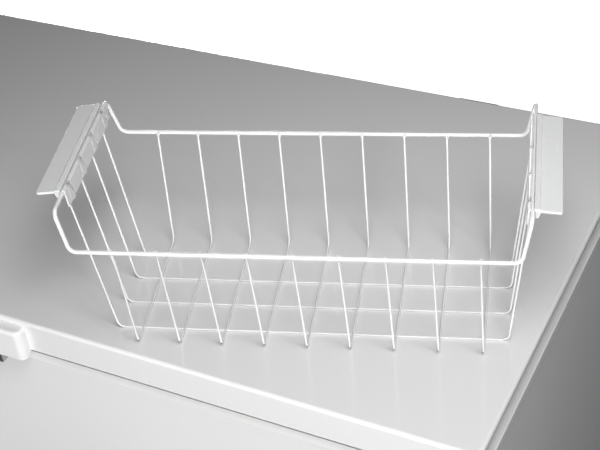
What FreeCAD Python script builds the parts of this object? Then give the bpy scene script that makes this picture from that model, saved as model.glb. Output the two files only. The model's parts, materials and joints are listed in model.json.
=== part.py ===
import FreeCAD, Part
import Sketcher
import math
import os
import re

# Chest freezer with its wire basket standing on the closed lid. Millimetres, +Z up, the front
# faces -Y and the floor is z = 0. Shapes are laid out about the middle of the case; each
# sub-part's Placement then moves it by case_shift, which puts the origin at the middle of the
# whole footprint, because one basket grip stands out past the lid's right edge.

DIMENSIONS = {
    # the case and its walls
    "lid_width": 1325, "lid_depth": 620, "lid_front": -317.5, "lid_height": 45,
    "case_shift": -14.5, "overhang": 6, "skin": 1, "wall": 38, "floor_gap": 30,
    "frame_top": 814, "frame_band": 14, "frame_lap": 10, "ledge_width": 20, "ledge_drop": 12,
    "gasket_gap": 9, "clearance": 0.3,
    "coil_gap_outer": 6, "coil_gap_inner": 7, "tub_bend": 25, "tub_floor": 100, "step_width": 230,
    "step_rise": 260, "bay_wall": 45,
    # the lid
    "top_round": 4.5, "corner_round": 14, "side_flange": 9, "trim_thick": 8, "pan_drop": 17,
    "pan_gap": 8, "seal_inset": 7, "grip_half": 78, "grip_proud": 15, "lock_height": 838,
    # hinges
    "hinge_place": 430, "pin_behind": 317, "pin_height": 838, "pin_round": 4, "knuckle_round": 11,
    # front controls
    "panel_left": 452, "panel_right": 632, "grille_low": 60, "grille_high": 214,
    "bezel_low": 228, "bezel_high": 292, "bezel_proud": 4, "knob_place": 500, "switch_place": 560,
    # compressor
    "pump_place": 545, "pump_back": 70, "pump_round": 74, "pump_low": 54, "pump_high": 214,
    # floor contact
    "foot_place": 590, "foot_front": -262, "roller_back": 236,
    "roller_round": 13, "roller_width": 20, "axle_round": 4, "running_fit": 0.05,
    # drain
    "drain_place": -560, "drain_front": -215, "drain_height": 66,
    # the basket, about the middle of its floor, at the height of its cross wires
    "basket_place": 394, "basket_front": -150, "basket_turn": 17.55, "basket_rest": 4.05,
    "rail_wire": 2.35, "thin_wire": 1.25, "pitch": 50, "cross_shift": 2, "rail_half": 114,
    "rail_height": 153, "rail_bend": 244, "end_half": 254, "end_corner": 108, "end_height": 203,
    "floor_half_width": 93, "floor_half_length": 229, "grip_length": 171, "grip_shift": 9,
    "flange_start": 8, "flange_width": 22.5, "flange_thick": 3.2, "skirt_drop": 19,
    "groove_half": 1.4, "end_splay": 1.055, "end_offset": 3,
}

# Faces that several sub-parts share, worked out from the driving dimensions.
FACES = {
    "lid_half": "(lid_width / 2)",
    "lid_back": "(lid_front + lid_depth)",
    "lid_low": "(frame_top + gasket_gap)",
    "lid_top": "(lid_low + lid_height)",
    "case_half": "(lid_half - overhang)",
    "case_front": "(lid_front + overhang)",
    "case_back": "(lid_back - overhang)",
    "panel_top": "(frame_top - frame_band)",
    "tub_top": "(panel_top - frame_lap)",
    "tub_half": "(case_half - wall)",
    "tub_front": "(case_front + wall)",
    "tub_back": "(case_back - wall)",
    "step_left": "(tub_half - step_width)",
    "step_top": "(tub_floor + step_rise)",
    "bay_left": "(step_left + bay_wall)",
    "bay_top": "(step_top - bay_wall)",
    "base_top": "(floor_gap + skin)",
}

doc = FreeCAD.newDocument("chest_freezer")
dims = doc.addObject("Spreadsheet::Sheet", "dims")
for row, (alias, size) in enumerate(DIMENSIONS.items(), start=1):
    dims.set(f"A{row}", alias)
    dims.set(f"B{row}", str(size))
    dims.setAlias(f"B{row}", alias)
doc.recompute()
probe = doc.addObject("Part::Feature", "probe")
places = {}
sub_parts = []


def bound(text):
    """Turn plain words into references to the sheet's cells."""
    text = str(text)
    while any(word in FACES for word in re.findall(r"[a-z_]+", text)):
        text = re.sub(r"[a-z_]+", lambda word: FACES.get(word[0], word[0]), text)
    return re.sub(r"[a-z_]+", lambda word: "dims." + word[0] if word[0] in DIMENSIONS else word[0], text)


def value(text):
    """The size that the words stand for, for shapes that are worked out here."""
    return float(probe.evalExpression(bound(text)))


def values(*texts):
    return [value(text) for text in texts]


def locate(item, x, y, z):
    places[item.Name] = (x, y, z)
    for letter, text in zip("xyz", (x, y, z)):
        item.setExpression("Placement.Base." + letter, bound(text))
    return item


def box(low, high):
    """A box between two corners, given as words."""
    item = doc.addObject("Part::Box", "box")
    for side, start, end in zip(("Length", "Width", "Height"), low, high):
        item.setExpression(side, bound(f"({end}) - ({start})"))
    return locate(item, *low)


def rod(base, direction, radius, length):
    """A cylinder from its base point along +X, +Y, +Z or the reverse."""
    item = doc.addObject("Part::Cylinder", "rod")
    item.setExpression("Radius", bound(radius))
    item.setExpression("Height", bound(length))
    turn = FreeCAD.Rotation(FreeCAD.Vector(0, 0, 1), FreeCAD.Vector(*direction))
    item.Placement = FreeCAD.Placement(FreeCAD.Vector(), turn)
    return locate(item, *base)


def fuse(*items):
    joined = doc.addObject("Part::MultiFuse", "joined")
    joined.Shapes = list(items)
    return joined


def cut(base, *tools):
    for tool in tools:
        piece = doc.addObject("Part::Cut", "carved")
        piece.Base = base
        piece.Tool = tool
        base = piece
    return base


def group(*items):
    together = doc.addObject("Part::Compound", "group")
    together.Links = list(items)
    return together


def feature(shape):
    """A piece whose shape is worked out here; a shape that was moved is wrapped, so it stays put."""
    item = doc.addObject("Part::Feature", "shape")
    item.Shape = shape if shape.Placement.isIdentity() else Part.makeCompound([shape])
    return item


def sub_part(label, item):
    """Name a piece of the case or lid, and move it with the case."""
    x, y, z = places.get(item.Name, ("0", "0", "0"))
    item.Label = label
    locate(item, f"({x}) + case_shift", y, z)
    sub_parts.append(item)


def basket_part(label, item):
    """Name a piece of the basket, and stand it, turned, on the lid."""
    item.Label = label
    item.Placement = FreeCAD.Placement(FreeCAD.Vector(), FreeCAD.Rotation(FreeCAD.Vector(0, 0, 1), 1))
    item.setExpression("Placement.Rotation.Angle", bound("basket_turn"))
    locate(item, "basket_place + case_shift", "basket_front", "lid_top + basket_rest")
    sub_parts.append(item)


# ---- sketches -----------------------------------------------------------------------------------


def plane_of(body, role):
    return next(item for item in body.Origin.OriginFeatures if item.Role == role)


def rectangle(body, role, left, low, right, high):
    """A sketched rectangle on an origin plane, its four sides bound to the sheet."""
    sketch = body.newObject("Sketcher::SketchObject", "rectangle")
    sketch.AttachmentSupport = [(plane_of(body, role), "")]
    sketch.MapMode = "FlatFace"
    a, b, c, d = values(left, low, right, high)
    corners = [FreeCAD.Vector(x, y) for x, y in ((a, b), (c, b), (c, d), (a, d))]
    for i in range(4):
        sketch.addGeometry(Part.LineSegment(corners[i], corners[(i + 1) % 4]))
    for i in range(4):
        sketch.addConstraint(Sketcher.Constraint("Coincident", i, 2, (i + 1) % 4, 1))
        sketch.addConstraint(Sketcher.Constraint("Vertical" if i % 2 else "Horizontal", i))
    for kind, corner, text in (("DistanceX", 0, left), ("DistanceY", 0, low),
                               ("DistanceX", 2, right), ("DistanceY", 2, high)):
        index = sketch.addConstraint(Sketcher.Constraint(kind, -1, 1, corner, 1, value(text)))
        sketch.setExpression(f"Constraints[{index}]", bound(text))
    return sketch


def pad(body, sketch, length, reverse):
    item = body.newObject("PartDesign::Pad", "pad")
    item.Profile = sketch
    item.setExpression("Length", bound(length))
    item.Reversed = reverse
    return item


def pocket(body, sketch):
    """Cut right through, both ways from the sketch's plane."""
    item = body.newObject("PartDesign::Pocket", "pocket")
    item.Profile = sketch
    item.Midplane = True
    item.setExpression("Length", bound("lid_depth * 4"))
    return item


def repeat(body, item, role, step, count):
    """Repeat a cut in a row along one of the body's axes."""
    row = body.newObject("PartDesign::LinearPattern", "row")
    row.Originals = [item]
    row.Direction = (plane_of(body, role), [""])
    row.setExpression("Length", bound(f"({step}) * ({count} - 1)"))
    row.Occurrences = count
    body.Tip = row
    return row


def plate(role, thickness, outline, slot=None, along="Z_Axis", step="1", count=1, reverse=False):
    """A flat plate from a sketched outline, with a row of slots cut through it."""
    body = doc.addObject("PartDesign::Body", "plate")
    pad(body, rectangle(body, role, *outline), thickness, reverse)
    doc.recompute()
    if slot:
        before = body.Shape.Volume
        hole = pocket(body, rectangle(body, role, *slot))
        doc.recompute()
        repeat(body, hole, along, step, count)
        doc.recompute()
        if not body.Shape.Volume < before:
            raise RuntimeError("the slots cut nothing")
    return body


def turned(points, rounds=0):
    """A piece turned about Z from (radius, height) points, its rim edges rounded."""
    outline = Part.makePolygon([FreeCAD.Vector(r, 0, z) for r, z in points + points[:1]])
    shape = Part.Face(outline).revolve(FreeCAD.Vector(), FreeCAD.Vector(0, 0, 1), 360)
    if rounds:
        widest = max(r for r, z in points)
        rims = [e for e in shape.Edges
                if hasattr(e.Curve, "Radius") and abs(e.Curve.Radius - widest) < 0.01
                and e.BoundBox.ZLength < 0.01]
        shape = shape.makeFillet(rounds, rims)
    return shape


# ---- wires and tubes ----------------------------------------------------------------------------


def bent_path(points, bend, closed=False):
    """Straight runs through the points, joined by tangent arcs."""
    points = [FreeCAD.Vector(*p) for p in points]
    count = len(points)
    turns = range(count) if closed else range(1, count - 1)
    arcs = {}
    for i in turns:
        here, back, on = points[i], points[i - 1], points[(i + 1) % count]
        into, out = (back - here).normalize(), (on - here).normalize()
        half = into.getAngle(out) / 2
        reach = bend / math.tan(half)
        middle = here + (into + out).normalize() * (bend / math.sin(half) - bend)
        arcs[i] = (here + into * reach, middle, here + out * reach)
    edges = []
    for i in range(count if closed else count - 1):
        after = (i + 1) % count
        start = arcs[i][2] if i in arcs else points[i]
        end = arcs[after][0] if after in arcs else points[after]
        edges.append(Part.LineSegment(start, end).toShape())
        if after in arcs:
            edges.append(Part.Arc(*arcs[after]).toShape())
    return Part.Wire(edges)


def tube(path, radius):
    """A round wire swept along the path."""
    start = path.OrderedVertexes[0].Point
    along = path.OrderedEdges[0].tangentAt(path.OrderedEdges[0].FirstParameter)
    circle = Part.Wire(Part.Circle(start, along, radius).toShape())
    swept = path.makePipeShell([circle], True, False)
    if abs(swept.Volume / (math.pi * radius ** 2 * path.Length) - 1) > 0.02:
        raise RuntimeError("a swept wire has the wrong volume")
    return swept


# ---- the case -----------------------------------------------------------------------------------


def control_openings():
    """Holes in the front panel behind the grille and the control bezel."""
    return [box(("panel_left + 8", "case_front - 5", low), ("panel_right - 8", "case_front + 5", high))
            for low, high in (("grille_low + 8", "grille_high - 8"), ("bezel_low + 8", "bezel_high - 8"))]


def make_panels():
    front = box(("-case_half", "case_front", "floor_gap"), ("case_half", "case_front + skin", "panel_top"))
    drain = rod(("drain_place", "case_front - 5", "drain_height"), (0, 1, 0), "9", "10")
    sub_part("front_panel", cut(front, *control_openings(), drain))
    sub_part("side_panel_left", box(("-case_half", "case_front + skin", "floor_gap"),
                                    ("-case_half + skin", "case_back - skin", "panel_top")))
    right = plate("YZ_Plane", "skin", ("case_front + skin", "floor_gap", "case_back - skin", "panel_top"),
                  slot=("40", "110", "180", "115"), step="14", count=10)
    places[right.Name] = ("case_half - skin", "0", "0")
    sub_part("side_panel_right", right)
    sub_part("rear_panel", box(("-case_half", "case_back - skin", "floor_gap"),
                               ("case_half", "case_back", "panel_top")))


def make_base():
    tray = box(("-case_half + skin", "case_front + skin", "floor_gap"),
               ("case_half - skin", "case_back - skin", "base_top"))
    holes = [rod((x, "foot_front", "0"), (0, 0, 1), "5.2", "60") for x in ("-foot_place", "foot_place")]
    sub_part("base_tray", cut(tray, *holes))


def tub_void(grow, top):
    """The room inside the tub, grown by a wall, with the step over the compressor left out."""
    bend = value(f"tub_bend + {grow}")
    room = doc.addObject("Part::Fillet", "room")
    room.Base = box((f"-tub_half - {grow}", f"tub_front - {grow}", f"tub_floor - {grow}"),
                    (f"tub_half + {grow}", f"tub_back + {grow}", top))
    room.Edges = [(edge, bend, bend) for edge in (1, 3, 5, 7)]
    step = box((f"step_left + {grow}", "tub_front - 50", "tub_floor - 50"),
               ("tub_half + 50", "tub_back + 50", f"step_top - {grow}"))
    return cut(room, step)


def make_tub():
    liner = cut(tub_void("skin", "tub_top"), tub_void("0", "tub_top + 5"))
    plug_hole = rod(("drain_place", "drain_front", "tub_floor - 20"), (0, 0, 1), "12", "30")
    sub_part("inner_liner", cut(liner, plug_hole))

    foam = box(("-case_half + skin", "case_front + skin + coil_gap_outer", "base_top"),
               ("case_half - skin", "case_back - skin", "tub_top"))
    bay = box(("bay_left", "case_front", "floor_gap"), ("case_half", "case_back", "bay_top"))
    pipe = rod(("drain_place", "drain_front", "50"), (0, 0, 1), "12", "60")
    outlet = rod(("drain_place", "case_front", "drain_height"), (0, 1, 0), "9", "drain_front - case_front")
    stud = rod(("-foot_place", "foot_front", "base_top"), (0, 0, 1), "8", "20")
    inside = tub_void("(skin + coil_gap_inner)", "tub_top + 5")
    sub_part("insulation_foam", cut(foam, inside, bay, pipe, outlet, stud))


def make_top_frame():
    """The plastic collar: its ledge carries the baskets, its rim the lid's seal."""
    band = box(("-case_half", "case_front", "panel_top"), ("case_half", "case_back", "frame_top"))
    lap = box(("-case_half + skin", "case_front + skin", "tub_top"),
              ("case_half - skin", "case_back - skin", "panel_top"))
    mouth = box(("-tub_half", "tub_front", "tub_top - 5"), ("tub_half", "tub_back", "frame_top + 5"))
    ledge = box(("-tub_half - ledge_width", "tub_front - ledge_width", "frame_top - ledge_drop"),
                ("tub_half + ledge_width", "tub_back + ledge_width", "frame_top + 5"))
    sub_part("top_frame", cut(fuse(band, lap), mouth, ledge))


def make_coils():
    """Evaporator tube round the liner and condenser tube behind the front panel."""
    right, front, back, step = values("tub_half + skin + coil_gap_inner / 2",
                                      "tub_front - skin - coil_gap_inner / 2",
                                      "tub_back + skin + coil_gap_inner / 2", "step_top + 40")
    pitch, bend = 72, value("tub_bend + skin + coil_gap_inner / 2")
    points = [(-right, back - 60, step)]
    for turn in range(5):
        low = step + turn * pitch
        points += [(-right, front, low), (right, front, low), (right, back, low), (right - 60, back, low),
                   (60 - right, back, low + pitch), (-right, back, low + pitch)]
    sub_part("evaporator_coil", feature(tube(bent_path(points[:-1], bend), 2.6)))

    run, depth, bottom = values("tub_half - 30", "case_front + skin + coil_gap_outer / 2", "step_top - 20")
    points = []
    for turn in range(6):
        side = run if turn % 2 else -run
        points += [(side, depth, bottom + turn * pitch), (-side, depth, bottom + turn * pitch)]
    sub_part("condenser_coil", feature(tube(bent_path(points, 30), 2.2)))


def make_compressor():
    x, y, r, low, high = values("pump_place", "pump_back", "pump_round", "pump_low", "pump_high")
    shell = turned([(0, low), (r, low), (r, high), (0, high)], rounds=34)
    seam = turned([(r - 6, low + 70), (r + 4, low + 70), (r + 4, low + 76), (r - 6, low + 76)])
    foot = Part.makeBox(190, 150, 4, FreeCAD.Vector(-95, -75, low - 6))
    neck = Part.makeCylinder(40, 12, FreeCAD.Vector(0, 0, low - 6))
    body = shell.fuse([seam, foot, neck])
    corners = [(i * 82, j * 62) for i in (-1, 1) for j in (-1, 1)]
    for i, j in corners:
        body = body.cut(Part.makeCylinder(5, 20, FreeCAD.Vector(i, j, low - 15)))
    body.translate(FreeCAD.Vector(x, y, 0))
    sub_part("compressor_shell", feature(body))

    base = value("base_top")
    bushes, bolts = [], []
    for i, j in corners:
        bush = turned([(4.2, base), (12, base), (12, low - 6.1), (4.2, low - 6.1)])
        bolt = turned([(0, base), (4, base), (4, low - 2), (8, low - 2), (8, low + 3), (0, low + 3)])
        for shape in (bush, bolt):
            shape.translate(FreeCAD.Vector(x + i, y + j, 0))
        bushes.append(bush)
        bolts.append(bolt)
    sub_part("compressor_grommets", feature(Part.makeCompound(bushes)))
    sub_part("compressor_bolts", feature(Part.makeCompound(bolts)))

    sub_part("start_relay_cover", box(("pump_place - 30", "pump_back - pump_round - 34", "pump_low + 20"),
                                      ("pump_place + 30", "pump_back - pump_round - 4.2", "pump_low + 66")))
    drier_x, drier_y, top, roof = value("bay_left + 24"), y - 100, high + 40, value("bay_top")
    drier = turned([(0, 0), (2.5, 0), (9, 14), (9, 96), (2.5, 110), (0, 110)])
    drier.translate(FreeCAD.Vector(drier_x, drier_y, base + 40))
    sub_part("filter_drier", feature(drier))
    hot = bent_path([(x - 20, y, high + 0.1), (x - 20, y, top), (drier_x, y, top), (drier_x, drier_y, top),
                     (drier_x, drier_y, base + 150.1)], 14)
    cold = bent_path([(x + 20, y, high + 0.1), (x + 20, y, top), (x + 60, y, top), (x + 60, y + 90, top),
                      (x + 60, y + 90, roof)], 14)
    capillary = bent_path([(drier_x, drier_y, base + 39.9), (drier_x, drier_y, base + 16),
                           (drier_x, drier_y - 60, base + 16), (drier_x, drier_y - 60, roof)], 10)
    pipes = [tube(hot, 3), tube(cold, 3.5), tube(capillary, 1.4)]
    sub_part("refrigerant_pipes", feature(Part.makeCompound(pipes)))


def make_controls():
    middle = "(bezel_low + bezel_high) / 2"
    bezel = box(("panel_left", "case_front - bezel_proud", "bezel_low"),
                ("panel_right", "case_front - 0.1", "bezel_high"))
    back = box(("panel_left + 8.2", "case_front - 0.1", "bezel_low + 8.2"),
               ("panel_right - 8.2", "case_front + 8", "bezel_high - 8.2"))
    shaft = rod(("knob_place", "case_front - 10", middle), (0, 1, 0), "3.6", "30")
    window = box(("switch_place - 9.5", "case_front - 10", f"{middle} - 7.4"),
                 ("switch_place + 9.5", "case_front + 20", f"{middle} + 7.4"))
    pivot = rod(("switch_place - 12", "case_front", middle), (1, 0, 0), "1.3", "24")
    lamps = [rod((f"switch_place + {24 + 16 * i}", "case_front - 10", middle), (0, 1, 0), "2.6", "30")
             for i in range(3)]
    sub_part("control_bezel", cut(fuse(bezel, back), shaft, window, pivot, *lamps))
    sub_part("indicator_lamps", group(*[
        rod((f"switch_place + {24 + 16 * i}", "case_front - bezel_proud - 1", middle), (0, 1, 0), "2.5", "12")
        for i in range(3)]))

    stem = rod(("knob_place", "case_front + 8.2", middle), (0, 1, 0), "11", "22")
    box_body = box(("knob_place - 22", "case_front + 10", f"{middle} - 16"),
                   ("knob_place + 22", "case_front + 44", f"{middle} + 16"))
    bore = rod(("knob_place", "case_front + 5", middle), (0, 1, 0), "3.1", "20")
    sub_part("thermostat_body", cut(fuse(stem, box_body), bore))

    disc = rod(("knob_place", "case_front - bezel_proud - 12", middle), (0, 1, 0), "14", "11.6")
    spindle = rod(("knob_place", "case_front - bezel_proud - 2", middle), (0, 1, 0), "3.05", "24")
    ridge = box(("knob_place - 2.5", "case_front - bezel_proud - 18", f"{middle} - 13"),
                ("knob_place + 2.5", "case_front - bezel_proud - 11", f"{middle} + 13"))
    sub_part("thermostat_knob", fuse(disc, spindle, ridge))

    block = box(("switch_place - 9", "case_front - bezel_proud - 2", f"{middle} - 5.6"),
                ("switch_place + 9", "case_front + 6", f"{middle} + 5.6"))
    pins = rod(("switch_place - 11", "case_front", middle), (1, 0, 0), "1.2", "22")
    sub_part("freeze_switch_rocker", fuse(block, pins))
    sub_part("freeze_switch_body", box(("switch_place - 12", "case_front + 8.2", f"{middle} - 10"),
                                       ("switch_place + 12", "case_front + 26", f"{middle} + 10")))


def make_grille():
    grille = plate("XZ_Plane", "4", ("panel_left", "grille_low", "panel_right", "grille_high"),
                   slot=("panel_left + 14", "grille_low + 14", "panel_right - 14", "grille_low + 19"),
                   step="11", count=12)
    places[grille.Name] = ("0", "case_front - 0.1", "0")
    sub_part("ventilation_grille", grille)


def make_drain():
    x, y, height, front, floor = values("drain_place", "drain_front", "drain_height", "case_front",
                                        "tub_floor")
    route = [(x, y, floor - 1.2), (x, y, height), (x, front - 12, height)]
    wall = tube(bent_path(route, 14), 7.5)
    hollow = tube(bent_path(route, 14), 5.5)
    sub_part("drain_tube", feature(wall.cut(hollow)))
    plug = turned([(0, -9), (5.2, -9), (5.3, 0.3), (13, 0.3), (13, 4), (0, 4)])
    plug = plug.fuse(turned([(0, 3), (3, 3), (3, 9), (5, 9), (5, 12), (0, 12)]))
    plug.translate(FreeCAD.Vector(x, y, floor))
    sub_part("drain_plug", feature(plug))
    cap = turned([(7.6, 0.4), (10.5, 0.4), (10.5, 13.5), (0, 13.5), (0, 11.8), (7.6, 11.8)])
    cap.rotate(FreeCAD.Vector(), FreeCAD.Vector(1, 0, 0), 90)
    cap.translate(FreeCAD.Vector(x, front - 0.6, height))
    sub_part("drain_cap", feature(cap))


def make_floor_contact():
    base = value("floor_gap")
    feet = []
    for side in (-1, 1):
        foot = turned([(0, 0), (21, 0), (21, 9), (12, 14), (12, base - 0.1), (5, base - 0.1), (5, base + 14),
                       (0, base + 14)])
        foot.translate(FreeCAD.Vector(side * value("foot_place"), value("foot_front"), 0))
        feet.append(foot)
    sub_part("front_feet", feature(Part.makeCompound(feet)))

    x, y, radius, width, axle, fit = values("foot_place", "roller_back", "roller_round", "roller_width",
                                            "axle_round", "running_fit")
    forks, axles = [], []
    for side in (-1, 1):
        middle = side * x
        top = Part.makeBox(width + 14, 44, 2, FreeCAD.Vector(middle - width / 2 - 7, y - 22, base - 2.1))
        for edge in (-1, 1):
            ear = Part.makeBox(2, 20, base - 6, FreeCAD.Vector(middle + edge * (width / 2 + 3) - 1, y - 10, 4))
            top = top.fuse(ear)
        line = FreeCAD.Vector(1, 0, 0)
        hole = Part.makeCylinder(axle, 60, FreeCAD.Vector(middle - 30, y, radius), line)
        forks.append(top.cut(hole))
        pin = Part.makeCylinder(axle, width + 10, FreeCAD.Vector(middle - width / 2 - 5, y, radius), line)
        head = Part.makeCylinder(axle + 2.5, 2, FreeCAD.Vector(middle - width / 2 - 6.1, y, radius), line)
        axles.append(pin.fuse(head))
        wheel = turned([(axle + fit, -width / 2), (radius, -width / 2), (radius, width / 2),
                        (axle + fit, width / 2)], rounds=2)
        wheel.rotate(FreeCAD.Vector(), FreeCAD.Vector(0, 1, 0), 90)
        wheel.translate(FreeCAD.Vector(middle, y, radius))
        sub_part("rear_roller_left" if side < 0 else "rear_roller_right", feature(wheel))
    sub_part("roller_brackets", feature(Part.makeCompound(forks)))
    sub_part("roller_axles", feature(Part.makeCompound(axles)))


def make_inlet():
    """The mains lead's gland and the terminal box behind it."""
    gland = [rod(("600", "case_back + 0.1", "90"), (0, 1, 0), "11", "4"),
             rod(("600", "case_back + 3", "90"), (0, 1, 0), "7", "16")]
    bore = rod(("600", "case_back", "90"), (0, 1, 0), "3.8", "30")
    sub_part("mains_gland", cut(fuse(*gland), bore))
    sub_part("terminal_box", box(("572", "case_back - skin - 46", "60"), ("636", "case_back - skin", "120")))


# ---- hinges -------------------------------------------------------------------------------------


def both_hinges(make):
    """One solid for each of the two hinges, made about the hinge's own middle."""
    shapes = []
    for side in (-1, 1):
        shape = make()
        shape.translate(FreeCAD.Vector(side * value("hinge_place"), 0, 0))
        shapes.append(shape)
    return feature(Part.makeCompound(shapes))


def make_hinges():
    back, y, z, pin, knuckle, lid_back, low, top = values(
        "case_back", "pin_behind", "pin_height", "pin_round", "knuckle_round", "lid_back", "lid_low",
        "lid_top")
    line = FreeCAD.Vector(1, 0, 0)

    def across(radius, start, end):
        return Part.makeCylinder(radius, end - start, FreeCAD.Vector(start, y, z), line)

    def block(x0, x1, y0, y1, z0, z1):
        return Part.makeBox(x1 - x0, y1 - y0, z1 - z0, FreeCAD.Vector(x0, y0, z0))

    def base():
        shape = block(-38, 38, back + 0.1, back + 2.5, low - 95, low - 11)
        for x0 in (-38, 35):
            shape = shape.fuse([block(x0, x0 + 3, back + 2, y + 6, low - 70, low - 2),
                                block(x0, x0 + 3, lid_back + 3, y + 10, low - 6, z),
                                across(knuckle, x0, x0 + 3)])
        return shape.cut(across(pin, -60, 60))

    def pin_shape():
        return across(pin, -38, 38).fuse([across(pin + 3, -41, -38.1), across(pin + 3, 38.1, 41)])

    def arm():
        shape = block(-28, 30, lid_back + 0.1, lid_back + 2.4, low + 3, top - 3)
        shape = shape.fuse([block(-4, 30, lid_back + 2, y, z - 6, z + 6), across(9, -4, 30)])
        return shape.cut(across(pin + value("running_fit"), -60, 60))

    def spring():
        coil = Part.makeHelix(3.6, 25, 7.6)
        circle = Part.Wire(Part.Circle(FreeCAD.Vector(7.6, 0, 0), FreeCAD.Vector(0, 1, 0), 1.25).toShape())
        shape = Part.Wire(coil).makePipeShell([circle], True, True)
        shape.rotate(FreeCAD.Vector(), FreeCAD.Vector(0, 1, 0), 90)
        shape.translate(FreeCAD.Vector(-32.5, y, z))
        return shape

    def screws(places_xz, face):
        shapes = []
        for x, height in places_xz:
            head = Part.makeCylinder(5, 2.4, FreeCAD.Vector(x, face, height), FreeCAD.Vector(0, 1, 0))
            shapes.append(head.makeFillet(1.2, [e for e in head.Edges
                                                if e.BoundBox.YMin > face + 2 and e.BoundBox.YLength < 0.1]))
        return Part.makeCompound(shapes)

    sub_part("hinge_bases", both_hinges(base))
    sub_part("hinge_pins", both_hinges(pin_shape))
    sub_part("hinge_springs", both_hinges(spring))
    sub_part("lid_hinge_arms", both_hinges(arm))
    base_places = [(x, height) for x in (-22, 22) for height in (low - 85, low - 50, low - 20)]
    sub_part("hinge_base_screws", both_hinges(lambda: screws(base_places, back + 2.6)))
    arm_places = [(x, top - 11) for x in (-18, 0, 18)]
    sub_part("hinge_arm_screws", both_hinges(lambda: screws(arm_places, lid_back + 2.5)))


# ---- the lid ------------------------------------------------------------------------------------


def rounded_block(low, high, corner, top_round):
    """A block with rounded upright corners and, if asked, a rounded top edge."""
    shape = Part.makeBox(*[b - a for a, b in zip(low, high)], FreeCAD.Vector(*low))
    upright = [e for e in shape.Edges if e.BoundBox.ZLength > 0.5]
    shape = shape.makeFillet(corner, upright)
    if top_round:
        rim = [e for e in shape.Edges if e.BoundBox.ZMin > high[2] - 0.01]
        shape = shape.makeFillet(top_round, rim)
    return shape


def make_lid():
    half, front, back, low, top = values("lid_half", "lid_front", "lid_back", "lid_low", "lid_top")
    skin, corner, edge, flange, thick = values("skin", "corner_round", "top_round", "side_flange",
                                               "trim_thick")
    outer = rounded_block((-half, front, low), (half, back, top), corner, edge)
    inner = rounded_block((-half + skin, front + skin, low - 1), (half - skin, back - skin, top - skin),
                          corner - skin, edge - skin)
    shell = outer.cut(inner)
    strips = {}
    for side, start in (("left", -half), ("right", half - thick)):
        inset = Part.makeBox(thick, back - front - 2 * corner, top - flange - low + 1,
                             FreeCAD.Vector(start, front + corner, low - 1))
        shell = shell.cut(inset)
        strip = Part.makeBox(thick - 0.5, back - front - 2 * corner - 0.4, top - flange - low - 1.4,
                             FreeCAD.Vector(start + (0.5 if side == "left" else 0), front + corner + 0.2,
                                            low + 1))
        strips[side] = strip
    sub_part("lid_top_skin", feature(shell))
    for side, strip in strips.items():
        sub_part("lid_side_trim_" + side, feature(strip))

    pan_x, pan_front, pan_back, pan_low = values("tub_half - pan_gap", "tub_front + pan_gap",
                                                 "tub_back - pan_gap", "lid_low - pan_drop")
    reach, inset = half - thick - 0.1, skin + 0.1
    fill = rounded_block((-reach, front + inset, low + inset), (reach, back - inset, top - inset), 10, edge)
    plug = Part.makeBox(2 * (pan_x - skin), pan_back - pan_front - 2 * skin, 30,
                        FreeCAD.Vector(-pan_x + skin, pan_front + skin, pan_low + skin))
    sub_part("lid_foam", feature(fill.fuse(plug)))
    flat = rounded_block((-reach, front + inset, low), (reach, back - inset, low + skin), 10, 0)
    pan = Part.makeBox(2 * pan_x, pan_back - pan_front, low + skin - pan_low,
                       FreeCAD.Vector(-pan_x, pan_front, pan_low))
    sub_part("lid_inner_liner", feature(flat.fuse(pan).cut(plug)))

    seal = box(("-case_half + seal_inset", "case_front + seal_inset", "frame_top + clearance"),
               ("case_half - seal_inset", "case_back - seal_inset", "lid_low"))
    middle = box(("-tub_half - ledge_width - 1", "tub_front - ledge_width - 1", "frame_top - 5"),
                 ("tub_half + ledge_width + 1", "tub_back + ledge_width + 1", "lid_low + 5"))
    sub_part("lid_gasket", cut(seal, middle))

    sub_part("lid_lamp_cover", cut(
        box(("-70", "120", "lid_low - pan_drop - 9"), ("70", "170", "lid_low - pan_drop - 0.1")),
        box(("-67", "123", "lid_low - pan_drop - 7"), ("67", "167", "lid_low - pan_drop + 5"))))
    sub_part("lid_lamp_board", box(("-60", "127", "lid_low - pan_drop - 3"),
                                   ("60", "163", "lid_low - pan_drop - 0.1")))


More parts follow.
